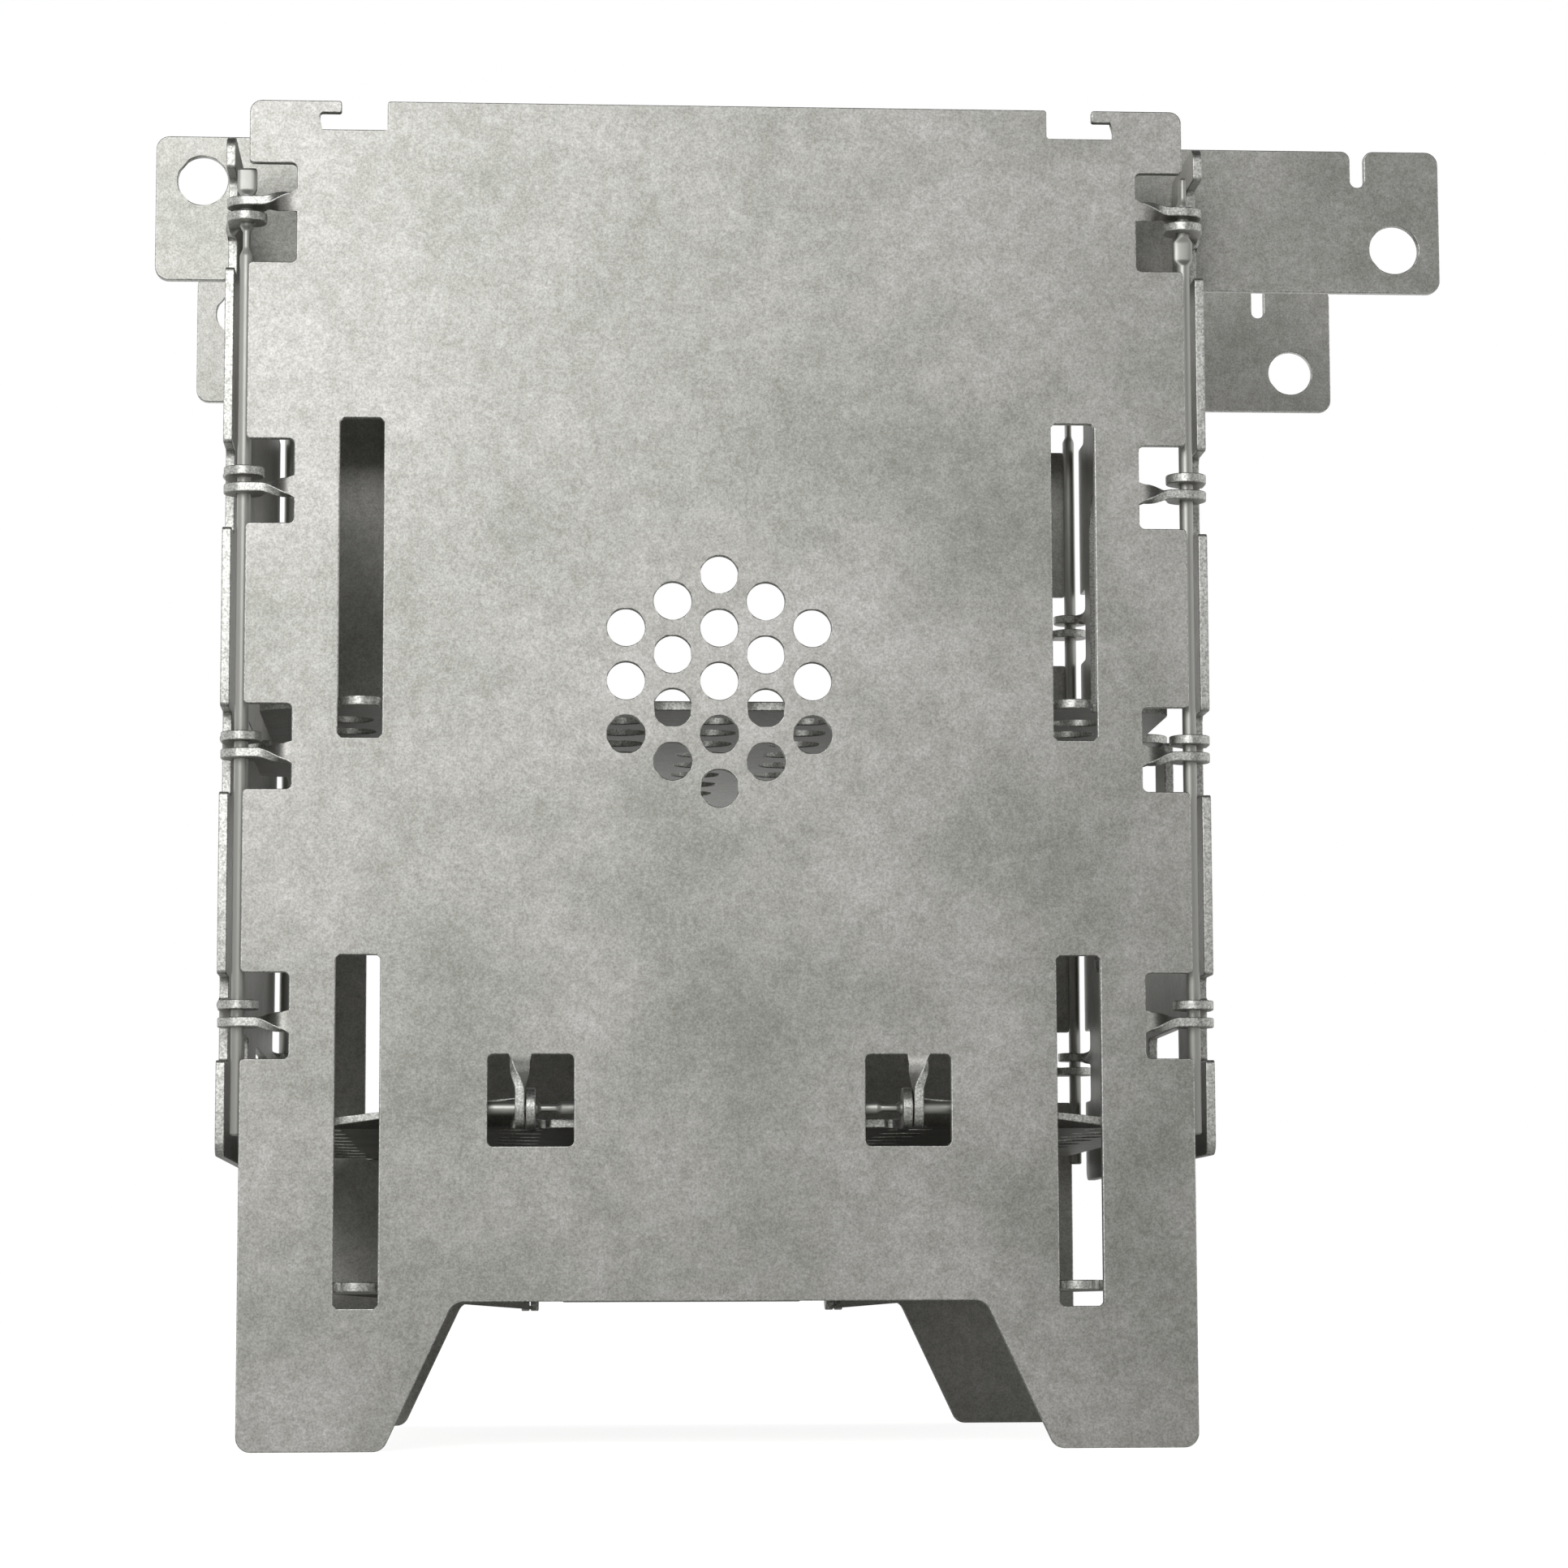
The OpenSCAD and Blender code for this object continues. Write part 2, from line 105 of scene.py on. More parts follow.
UPPER_SLOT_Z, UPPER_SLOT_H = 80.8, 37.1
FRONT_SLOT_Z = 16.0
SLOT_R = 0.5
NOTCH_IN, NOTCH_OUT, HOOK_TIP = 38.5, 46.3, 43.8
NOTCH_FLOOR, HOOK_UNDER = 151.9, 153.9
VENT_PITCH, VENT_R, VENT_Z = 6.2, 2.2, 87.5


def arc(cx, cy, r, start, end, step=10.0):
    """Points c + r (cos a, sin a) of a circle, for angles a from start to end in degrees; n rows of (x, y)."""
    n = max(2, int(math.ceil(abs(end - start) / step)) + 1)
    a = np.radians(np.linspace(start, end, n))
    return np.column_stack([cx + r * np.cos(a), cy + r * np.sin(a)])


def filleted(corners):
    """Corner (x, y, r) of a closed outline becomes an arc of radius r that touches both of its sides.
    The arc's centre lies on the bisector, r / sin(half the corner's angle) away from the corner."""
    p = np.array([c[:2] for c in corners], float)
    out = []
    for i, (x, y, r) in enumerate(corners):
        before, after = p[i - 1] - p[i], p[(i + 1) % len(p)] - p[i]
        before, after = before / np.hypot(*before), after / np.hypot(*after)
        half = math.acos(max(-1.0, min(1.0, float(before @ after)))) / 2
        if r <= 0 or half > math.pi / 2 - 0.01:
            out.append(p[i : i + 1])
            continue
        centre = p[i] + (before + after) / np.hypot(*(before + after)) * r / math.sin(half)
        first = p[i] + before * r / math.tan(half) - centre
        last = p[i] + after * r / math.tan(half) - centre
        a0, a1 = math.atan2(first[1], first[0]), math.atan2(last[1], last[0])
        turn = (a1 - a0 + math.pi) % (2 * math.pi) - math.pi
        out.append(arc(centre[0], centre[1], r, math.degrees(a0), math.degrees(a0 + turn), 12.0))
    return np.vstack(out)


def strip(root, along, side, length, inward=1, drop=None):
    """A strip that is cut flat and then twisted. It starts at root and runs along, its ring stands off to its side,
    and length is the distance from root to the ring's middle. drop is how far the finished ring's middle lies
    behind the middle of the sheet, and inward is -1 where the ring comes to the front of the sheet instead."""
    off = RING_R - STRIP_W / 2
    return {
        "root": np.array(root, float),
        "along": np.array(along, float),
        "side": np.array(side, float),
        "length": length,
        "inward": inward,
        "shift": (HINGE_OFF if drop is None else drop) - off,
    }


def strip_outline(s):
    """The flat outline of a strip and its ring as corners (x, y, r), from its edge on the ring's side round to the
    other edge. The edge meets the ring in a small fillet; the other edge runs into the ring as its tangent."""
    half, off, neck = STRIP_W / 2, RING_R - STRIP_W / 2, 0.5
    start = s["length"] - math.sqrt((RING_R + neck) ** 2 - (half + neck - off) ** 2)
    lean = math.degrees(math.atan2(off - half - neck, s["length"] - start))
    edge = np.linspace(0.35, start, max(3, int(start / 0.25)))[:-1]
    local = np.vstack(
        [
            np.column_stack([edge, np.full(len(edge), half)]),
            arc(start, half + neck, neck, -90, lean, 14.0),
            arc(s["length"], off, RING_R, 180 + lean, -90, 10.0)[1:],
        ]
    )
    back = np.arange(s["length"] - 0.25, 0.35, -0.25)
    local = np.vstack([local, np.column_stack([back, np.full(len(back), -half)])])
    points = s["root"] + local[:, :1] * s["along"] + local[:, 1:] * s["side"]
    root = [s["root"] + half * s["side"], s["root"] - half * s["side"]]
    return [(*root[0], 0.3)] + [(*p, 0.0) for p in points] + [(*root[1], 0.3)]


def ring_hole(s):
    """The round hole in a strip's ring, where the ring lies in the flat sheet."""
    centre = s["root"] + s["length"] * s["along"] + (RING_R - STRIP_W / 2) * s["side"]
    return arc(centre[0], centre[1], RING_HOLE_R, 360, 15, 15.0)


def mirrored(points):
    """The same outline on the other side of x = 0, walked the other way so that the metal stays on its left."""
    return [(-p[0], *p[1:]) for p in reversed(list(points))]


def mirrored_strip(s):
    """The same strip on the other side of x = 0."""
    return {**s, **{k: s[k] * [-1, 1] for k in ("root", "along", "side")}}


def twist(points, normals, s):
    """Turns the strip's points (u, v, w) about its middle line, w being depth behind the sheet's face.
    At distance d from the root the turn is a quarter turn times d / end, eased at both ends, where end is the
    start of the ring; the strip's middle line moves off by its shift in the same way."""
    flat = points[:, :2] - s["root"]
    d, l = flat @ s["along"], flat @ s["side"]
    on = (d > 0) & (d < s["length"] + 3) & (l > -STRIP_W / 2 - 0.1) & (l < 2 * RING_R - STRIP_W / 2 + 0.1)
    end = s["length"] - RING_R + 0.35
    x = np.clip(d[on] / end, 0, 1)
    eased = 0.35 * x + 0.65 * x * x * (3 - 2 * x)
    a = np.pi / 2 * eased * s["inward"]
    h = points[on, 2] - SHEET / 2
    side = l[on] * np.cos(a) - h * np.sin(a)
    depth = l[on] * np.sin(a) + h * np.cos(a)
    points[on, :2] = s["root"] + d[on, None] * s["along"] + side[:, None] * s["side"]
    points[on, 2] = SHEET / 2 + depth + s["inward"] * s["shift"] * eased
    n = normals[on]
    n_side, n_depth = n[:, :2] @ s["side"], n[:, 2]
    n_along = n[:, :2] @ s["along"]
    turned_side = n_side * np.cos(a) - n_depth * np.sin(a)
    normals[on, :2] = n_along[:, None] * s["along"] + turned_side[:, None] * s["side"]
    normals[on, 2] = n_side * np.sin(a) + n_depth * np.cos(a)


def sheet_piece(name, node, loops, strips, place, thick=SHEET, round_r=EDGE_ROUND):
    """A sheet of the given thickness with all of its edges rounded.
    Each loop is a closed outline with the metal on its left. Row j of a loop is the outline moved into the metal
    by r (1 - sin f) at depth r (1 - cos f), f going from 0 to a quarter turn at the front edge and back again at
    the rear edge. The first and last rows are filled with triangles. Strips are then twisted, and place = (origin,
    right, up, back) puts the flat pattern (u, v, w) at origin + u right + v up + w back."""
    steps = np.radians([0, 22.5, 45, 67.5, 90])
    inset = np.concatenate([round_r * (1 - np.sin(steps)), round_r * (1 - np.sin(steps[::-1]))])
    depth = np.concatenate([round_r * (1 - np.cos(steps)), thick - round_r * (1 - np.cos(steps[::-1]))])
    tilt = np.concatenate([-np.cos(steps), np.cos(steps[::-1])])
    rows = len(inset)
    caps, cap_edges, verts, normals, quads = [], [], [], [], []
    base = 0
    for loop in loops:
        p = np.asarray(loop, float)
        step = np.roll(p, -1, axis=0) - p
        out = np.column_stack([step[:, 1], -step[:, 0]]) / np.hypot(*step.T)[:, None]
        mean = out + np.roll(out, 1, axis=0)
        mean /= np.hypot(*mean.T)[:, None]
        reach = 1 / np.clip((mean * out).sum(1), 0.6, 1)
        n = len(p)
        flat = p[:, None, :] - inset[None, :, None] * (mean * reach[:, None])[:, None, :]
        w = np.broadcast_to(depth[None, :, None], (n, rows, 1))
        verts.append(np.concatenate([flat, w], axis=2).reshape(-1, 3))
        level = np.sqrt(1 - tilt**2)[None, :, None] * mean[:, None, :]
        normals.append(np.concatenate([level, np.broadcast_to(tilt[None, :, None], (n, rows, 1))], 2).reshape(-1, 3))
        i = np.arange(n)[:, None] * rows + np.arange(rows - 1)[None, :]
        k = np.roll(np.arange(n), -1)[:, None] * rows + np.arange(rows - 1)[None, :]
        quads.append(np.stack([i, i + 1, k + 1, k], axis=2).reshape(-1, 4) + base * rows)
        caps.append(flat[:, 0])
        cap_edges.append(np.column_stack([np.arange(n), np.roll(np.arange(n), -1)]) + base)
        base += n
    corner = np.vstack(caps)
    filled = delaunay_2d_cdt([tuple(c) for c in corner], np.vstack(cap_edges).tolist(), [], 1, 1e-5, True)
    source = np.array([o[0] for o in filled[3]])
    tri = source[np.array(filled[2])]
    a, b, c = (corner[tri[:, i]] for i in range(3))
    area = (b - a)[:, 0] * (c - a)[:, 1] - (b - a)[:, 1] * (c - a)[:, 0]
    tri[area < 0] = tri[area < 0][:, ::-1]
    tri = tri[inside((a + b + c) / 3, loops)]
    points, normal = np.vstack(verts), np.vstack(normals)
    for s in strips:
        twist(points, normal, s)
    axes = np.array(place[1:], float)
    points = (np.array(place[0]) + points @ axes) / 1000
    normal = normal @ axes
    faces = np.vstack(quads).tolist() + (tri * rows).tolist() + (tri[:, ::-1] * rows + rows - 1).tolist()
    mesh = bpy.data.meshes.new(name)
    mesh.from_pydata(points.tolist(), [], faces)
    mesh.polygons.foreach_set("use_smooth", [True] * len(faces))
    cut = np.zeros(len(faces), int)
    cut[: sum(len(q) for q in quads)] = 1
    mesh.materials.append(TUMBLED)
    mesh.materials.append(CUT_EDGE)
    mesh.polygons.foreach_set("material_index", cut.tolist())
    mesh.normals_split_custom_set_from_vertices(normal.tolist())
    mesh.update()
    obj = bpy.data.objects.new(name, mesh)
    bpy.context.scene.collection.objects.link(obj)
    body = next(b for b, held in frame["record"]["behaviour"]["bodies"].items() if node in held)
    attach(obj, body)
    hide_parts(node)


def inside(points, loops):
    """True for points with the metal round them: a ray from the point to +x crosses the outlines an odd number
    of times."""
    count = np.zeros(len(points), int)
    for loop in loops:
        p = np.asarray(loop, float)
        q = np.roll(p, -1, axis=0)
        y = points[:, 1][:, None]
        crosses = (p[:, 1] > y) != (q[:, 1] > y)
        rise = np.where(q[:, 1] == p[:, 1], 1.0, q[:, 1] - p[:, 1])
        x = p[:, 0] + (y - p[:, 1]) * (q[:, 0] - p[:, 0]) / rise
        count += (crosses & (x > points[:, 0][:, None])).sum(1)
    return count % 2 == 1


def linear(hex_colour):
    """sRGB hex to linear RGBA: c / 12.92 up to 0.04045, else ((c + 0.055) / 1.055) ** 2.4."""
    c = [int(hex_colour[i : i + 2], 16) / 255 for i in (1, 3, 5)]
    return (*[v / 12.92 if v <= 0.04045 else ((v + 0.055) / 1.055) ** 2.4 for v in c], 1.0)


def add(tree, kind, settings=None, **links):
    """Adds one node. settings gives its properties and unlinked sockets by name, links its linked sockets, each as
    (node, output name), with _ for a space in the socket's name."""
    node = tree.nodes.new(kind)
    for key, value in (settings or {}).items():
        if hasattr(node, key):
            setattr(node, key, value)
        else:
            node.inputs[key].default_value = value
    for key, (source, output) in links.items():
        tree.links.new(source.outputs[output], node.inputs[key.replace("_", " ")])
    return node


# Tumbled stainless sheet: a cold-rolled sheet rubbed dull by ceramic stones, so it shines softly with cloudy
# patches a few centimetres wide, a mottle of 2 mm, and a speckle of dents. The stones' finest marks are about
# 0.1 mm wide and are drawn twice as wide, which is the least that a picture of the whole stove shows.
TUMBLED = bpy.data.materials.new("tumbled_stainless_sheet")
TUMBLED.use_nodes = True
tree = TUMBLED.node_tree
tree.nodes.clear()
place = add(tree, "ShaderNodeTexCoord")


def noise_tone(tree, place, scale, detail, low, high, span=0.18):
    """A noise of the given scale (patches per metre) and its colours, low where it is weakest."""
    settings = {"Scale": scale, "Detail": detail, "Roughness": 0.55}
    noise = add(tree, "ShaderNodeTexNoise", settings, Vector=(place, "Object"))
    tone = add(tree, "ShaderNodeValToRGB", Fac=(noise, "Fac"))
    first, last = tone.color_ramp.elements
    first.position, last.position = 0.5 - span, 0.5 + span
    first.color, last.color = linear(low), linear(high)
    return noise, tone


def times(tree, first, second):
    """One colour times another."""
    settings = {"blend_type": "MULTIPLY", "Fac": 1.0}
    return add(tree, "ShaderNodeMixRGB", settings, Color1=(first, "Color"), Color2=(second, "Color"))


clouds, cloud_tone = noise_tone(tree, place, 45.0, 4.0, "#b2b3ae", "#d7d5d3")
mottle, mottle_tone = noise_tone(tree, place, 480.0, 3.0, "#eeeeec", "#ffffff")
speckle, speckle_tone = noise_tone(tree, place, 1700.0, 2.0, "#ededeb", "#ffffff")
marks, marks_tone = noise_tone(tree, place, 4600.0, 1.0, "#d3d3d1", "#ffffff", 0.24)
tone = times(tree, times(tree, cloud_tone, mottle_tone), times(tree, speckle_tone, marks_tone))
gloss = add(tree, "ShaderNodeMapRange", {"To Min": 0.38, "To Max": 0.52}, Value=(clouds, "Fac"))
dents = add(tree, "ShaderNodeBump", {"Strength": 0.2, "Distance": 0.00004}, Height=(speckle, "Fac"))
shader = add(
    tree, "ShaderNodeBsdfPrincipled", {"Metallic": 1.0},
    Base_Color=(tone, "Color"), Roughness=(gloss, "Result"), Normal=(dents, "Normal"),
)
add(tree, "ShaderNodeOutputMaterial", Surface=(shader, "BSDF"))

# Tumbled cut edge: the laser-cut side of the sheet, beaten round and bright, with a fine grain.
CUT_EDGE = bpy.data.materials.new("tumbled_stainless_cut_edge")
CUT_EDGE.use_nodes = True
tree = CUT_EDGE.node_tree
tree.nodes.clear()
place = add(tree, "ShaderNodeTexCoord")
grain, grain_tone = noise_tone(tree, place, 4200.0, 2.0, "#9f9f9b", "#e4e4e0")
grain_dents = add(tree, "ShaderNodeBump", {"Strength": 0.25, "Distance": 0.00004}, Height=(grain, "Fac"))
shader = add(
    tree, "ShaderNodeBsdfPrincipled", {"Metallic": 1.0, "Roughness": 0.44},
    Base_Color=(grain_tone, "Color"), Normal=(grain_dents, "Normal"),
)
add(tree, "ShaderNodeOutputMaterial", Surface=(shader, "BSDF"))


def edge_strips(gap, top_gap, turn):
    """The strips in the right-hand edge windows of a wall, from the lowest up. turn is 1 where the ring stands off
    upwards in the flat sheet, and the top one always turns the other way."""
    length = ROD_AT - WINDOW_X
    strips = [strip((WINDOW_X, z + PAIR_LIFT + gap), (1, 0), (0, turn), length) for z in WINDOW_Z]
    top = TOP_WINDOW_Z + TOP_PAIR_LIFT + top_gap
    return strips + [strip((WINDOW_X, top), (1, 0), (0, -turn), length)]


def right_edge(strips):
    """The right-hand edge of a wall between its lowest and highest corners, walked upwards: in along each window's
    sill, up its inner side round the strip, and out again under its head."""
    w, r, lip = WALL_W / 2, WINDOW_R, 0.5
    corners = []
    heights = [WINDOW_H] * 3 + [TOP_WINDOW_H]
    for z, h, s in zip(WINDOW_Z + (TOP_WINDOW_Z,), heights, strips):
        edge = strip_outline(s)
        corners += [(w, z - h / 2, lip), (WINDOW_X, z - h / 2, r)]
        corners += edge[::-1] if s["side"][1] > 0 else edge
        corners += [(WINDOW_X, z + h / 2, r), (w, z + h / 2, lip)]
    return corners


def slot_hole(x, y, w, h, r):
    """A window with rounded corners, walked with the metal on its left."""
    x0, x1, y0, y1 = x - w / 2, x + w / 2, y - h / 2, y + h / 2
    return filleted([(x0, y1, r), (x1, y1, r), (x1, y0, r), (x0, y0, r)])


def tall_wall_half():
    """Right half of the front and back walls' outline from the arch's middle to the middle of the top edge, apart
    from the edge windows: arch, foot, edge, corner, and the notch with its hook."""
    arch_h, arch_foot, lean = 16.7, 38.0, 0.472
    arch_corner = arch_foot - lean * arch_h
    w = WALL_W / 2
    return [(arch_corner, arch_h, 1.8), (arch_foot, 0.0, 1.7), (w, 0.0, 1.7)], [
        (w, WALL_H, 1.4),
        (HOOK_TIP, WALL_H, 0.3), (HOOK_TIP, HOOK_UNDER, 0.3),
        (NOTCH_OUT, HOOK_UNDER, 0.3), (NOTCH_OUT, NOTCH_FLOOR, 0.3),
        (NOTCH_IN, NOTCH_FLOOR, 0.35), (NOTCH_IN, WALL_H, 0.35),
    ]


def tall_wall(name, low_slot_z, extra_loops, extra_strips, arch_notches, place):
    """A front or back wall: the outline with its edge windows, the pair of tall slots that starts at low_slot_z, and
    what only that wall has. arch_notches is the part of the outline along the right half of the arch."""
    strips = edge_strips(-PAIR_GAP, TOP_PAIR_GAP, 1)
    low, high = tall_wall_half()
    half = arch_notches + low + right_edge(strips) + high
    loops = [filleted(half + mirrored(half))]
    loops += [slot_hole(x, low_slot_z + SLOT_H / 2, SLOT_W, SLOT_H, SLOT_R) for x in (-SLOT_X, SLOT_X)]
    strips = strips + extra_strips
    strips += [mirrored_strip(s) for s in strips]
    loops += [ring_hole(s) for s in strips] + extra_loops
    sheet_piece(name + "_sheet", name, loops, strips, place)


def hanging_strip(x, top, rod_z):
    """A strip that hangs from the top edge of a low window, its ring towards the middle of the wall."""
    return strip((x, top), (0, -1), (-1, 0), top - rod_z)


hanging = hanging_strip(GRATE_WINDOW_X + 1.25, GRATE_WINDOW_Z[1], GRATE_ROD_Z)
left, right_side = GRATE_WINDOW_X - GRATE_WINDOW_W / 2, GRATE_WINDOW_X + GRATE_WINDOW_W / 2
sill, head = GRATE_WINDOW_Z
window = filleted(
    [(left, head, WINDOW_R)]
    + strip_outline(hanging)
    + [(right_side, head, WINDOW_R), (right_side, sill, WINDOW_R), (left, sill, WINDOW_R)]
)
vents = []
for i in range(-2, 3):
    for j in range(-2, 3):
        if abs(i + j) < 3:
            x, z = i * VENT_PITCH * math.sin(math.pi / 3), VENT_Z + (j + i / 2) * VENT_PITCH
            vents.append(arc(x, z, VENT_R, 360, 10))
upper_middle = UPPER_SLOT_Z + UPPER_SLOT_H / 2
upper_slots = [slot_hole(x, upper_middle, SLOT_W, UPPER_SLOT_H, SLOT_R) for x in (-SLOT_X, SLOT_X)]
tall_wall(
    "front_wall", FRONT_SLOT_Z, [window, mirrored(window)] + vents + upper_slots, [hanging], [],
    ((BODY_X, -BODY / 2, 0), (1, 0, 0), (0, 0, 1), (0, 1, 0)),
)


# Back wall. It is the same blank as the front wall, turned to face backwards. It has a door in its middle, its tall
# slots start at the grate's level, and the windows for the ash plate's strips are open at the arch.
ASH_ROD_Z = 17.9
BACK_DOOR_W, DOOR_R = 66.0, 4.0
DOOR_Z = (61.0, 127.0)

ash_head = ASH_ROD_Z + GRATE_WINDOW_Z[1] - GRATE_ROD_Z
arch_h = tall_wall_half()[0][0][1]
ash_hanging = hanging_strip(GRATE_WINDOW_X, ash_head, ASH_ROD_Z)
notch = [(left, arch_h, 0.5), (left, ash_head, WINDOW_R)] + strip_outline(ash_hanging)
notch += [(right_side, ash_head, WINDOW_R), (right_side, arch_h, 0.5)]
back_door = slot_hole(0, sum(DOOR_Z) / 2, BACK_DOOR_W, DOOR_Z[1] - DOOR_Z[0], DOOR_R)
tall_wall(
    "back_wall", GRATE_Z, [back_door], [ash_hanging], notch,
    ((BODY_X, BODY / 2, 0), (-1, 0, 0), (0, 0, 1), (0, -1, 0)),
)


# Side walls. They hang between the tall walls on the same rods, so their strips turn the other way. The pot bars
# drop into open slots in their top edges. The right wall has the fuel door with two posts that carry the upper
# plate, the left wall a low slot for the plate's ear.
SIDE_Z = (33.2, 151.8)
BAR_Z, BAR_H, BAR_T, BAR_Y = 138.4, 17.6, 1.2, 36.85
BAR_SLOT_W = 2.0
NOTCH_DEPTH, NOTCH_W, NOTCH_PLAY = 4.5, 1.7, 0.25
UPPER_Z = 84.6
LOW_VENT_Z, LOW_VENT_W, LOW_VENT_PITCH = (38.6, 49.2), 25.2, 41.7
DOOR_HALF = 43.6
POST_Y, POST_W = 21.2, 8.0


def side_wall(name, slot_floor, extra_loops, place):
    """A side wall: its outline with the edge windows and bar slots, two low air vents, and its own openings."""
    strips = edge_strips(PAIR_GAP, -TOP_PAIR_GAP, -1)
    w, slot = WALL_W / 2, BAR_SLOT_W / 2
    half = [(w, SIDE_Z[0], 1.6)] + right_edge(strips) + [(w, SIDE_Z[1], 1.6)]
    half += [(BAR_Y + slot, SIDE_Z[1], 0.5), (BAR_Y + slot, slot_floor, 0.6)]
    half += [(BAR_Y - slot, slot_floor, 0.6), (BAR_Y - slot, SIDE_Z[1], 0.5)]
    strips += [mirrored_strip(s) for s in strips]
    loops = [filleted(half + mirrored(half))] + [ring_hole(s) for s in strips]
    for i in (-0.5, 0.5):
        loops.append(
            slot_hole(i * LOW_VENT_PITCH, sum(LOW_VENT_Z) / 2, LOW_VENT_W, LOW_VENT_Z[1] - LOW_VENT_Z[0], WINDOW_R)
        )
    sheet_piece(name + "_sheet", name, loops + extra_loops, strips, place)


door = [(DOOR_HALF, DOOR_Z[1], DOOR_R), (DOOR_HALF, DOOR_Z[0], DOOR_R)]
outer, inner = POST_Y + POST_W / 2, POST_Y - POST_W / 2
door += [(outer, DOOR_Z[0], 1.0), (outer, UPPER_Z, 0.6), (inner, UPPER_Z, 0.6), (inner, DOOR_Z[0], 1.0)]
side_wall(
    "right_wall", BAR_Z, [filleted(door + mirrored(door))],
    ((BODY_X + BODY / 2, 0, 0), (0, 1, 0), (0, 0, 1), (-1, 0, 0)),
)
EAR_SLOT_W, EAR_SLOT_H = 31.0, 3.4
ear_slot = slot_hole(0, UPPER_Z + EAR_SLOT_H / 2, EAR_SLOT_W, EAR_SLOT_H, WINDOW_R)
side_wall(
    "left_wall", BAR_Z + NOTCH_DEPTH - NOTCH_PLAY, [ear_slot],
    ((BODY_X - BODY / 2, 0, 0), (0, -1, 0), (0, 0, 1), (1, 0, 0)),
)


# Hinge rods. They are drawn stainless wire, 1.6 mm thick. Each is pinched flat beside its rings, once each way on
# the corner rods, so that it can't slide out of them. The front right rod was put in a quarter turn round.
ROD_R, ROD_SIDES = 0.8, 32
PINCH_W, PINCH_T = 1.15, 0.42

# Drawn stainless wire: smoother and brighter than the sheet, with fine lines round nothing but a soft long glint.
WIRE = bpy.data.materials.new("drawn_stainless_wire")
WIRE.use_nodes = True
tree = WIRE.node_tree
tree.nodes.clear()
place = add(tree, "ShaderNodeTexCoord")
rub = add(tree, "ShaderNodeTexNoise", {"Scale": 400.0, "Detail": 3.0, "Roughness": 0.6}, Vector=(place, "Object"))
rub_gloss = add(tree, "ShaderNodeMapRange", {"To Min": 0.42, "To Max": 0.54}, Value=(rub, "Fac"))
rub_dents = add(tree, "ShaderNodeBump", {"Strength": 0.2, "Distance": 0.00005}, Height=(rub, "Fac"))
shader = add(
    tree, "ShaderNodeBsdfPrincipled", {"Metallic": 1.0, "Base Color": linear("#bcbcb7")},
    Roughness=(rub_gloss, "Result"), Normal=(rub_dents, "Normal"),
)
add(tree, "ShaderNodeOutputMaterial", Surface=(shader, "BSDF"))


def rod(name, node, keys, place):
    """A wire carried along a straight line through keys (s, a, b, n): at distance s its section is the rounded
    shape (a |cos f|^(2/n), b |sin f|^(2/n)), and between keys a, b and n run along an eased curve. place = (origin,
    along, first, second) puts it at origin + s along + first and second times the section's point."""
    s, shape = [], []
    for (s0, *k0), (s1, *k1) in zip(keys, keys[1:]):
        x = np.linspace(0, 1, 2 if k0 == k1 else 9)[:-1]
        s.append(s0 + (s1 - s0) * x)
        eased = (x * x * (3 - 2 * x))[:, None]
        shape.append(np.array(k0) + (np.array(k1) - np.array(k0)) * eased)
    s = np.concatenate(s + [[keys[-1][0]]])
    a, b, n = np.vstack(shape + [[keys[-1][1:]]]).T
    f = np.linspace(0, 2 * np.pi, ROD_SIDES, endpoint=False)
    cos, sin = np.cos(f)[None, :], np.sin(f)[None, :]
    power = 2 / n[:, None]
    p = a[:, None] * np.sign(cos) * np.abs(cos) ** power
    q = b[:, None] * np.sign(sin) * np.abs(sin) ** power
    local = np.stack([np.broadcast_to(s[:, None], p.shape), p, q], axis=2).reshape(-1, 3)
    points = (np.array(place[0]) + local @ np.array(place[1:], float)) / 1000
    start = np.arange(len(s) - 1)[:, None] * ROD_SIDES
    i = start + np.arange(ROD_SIDES)[None, :]
    k = start + (np.arange(ROD_SIDES)[None, :] + 1) % ROD_SIDES
    faces = np.stack([i, k, k + ROD_SIDES, i + ROD_SIDES], axis=2).reshape(-1, 4).tolist()
    faces += [list(range(ROD_SIDES))[::-1], list(range(len(points) - ROD_SIDES, len(points)))]
    if np.linalg.det(np.array(place[1:], float)) < 0:
        faces = [f[::-1] for f in faces]
    mesh = bpy.data.meshes.new(name)
    mesh.from_pydata(points.tolist(), [], faces)
    mesh.polygons.foreach_set("use_smooth", [len(f) == 4 for f in faces])
    mesh.materials.append(WIRE)
    mesh.update()
    obj = bpy.data.objects.new(name, mesh)
    bpy.context.scene.collection.objects.link(obj)
    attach(obj, "stove")
    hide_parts(node)


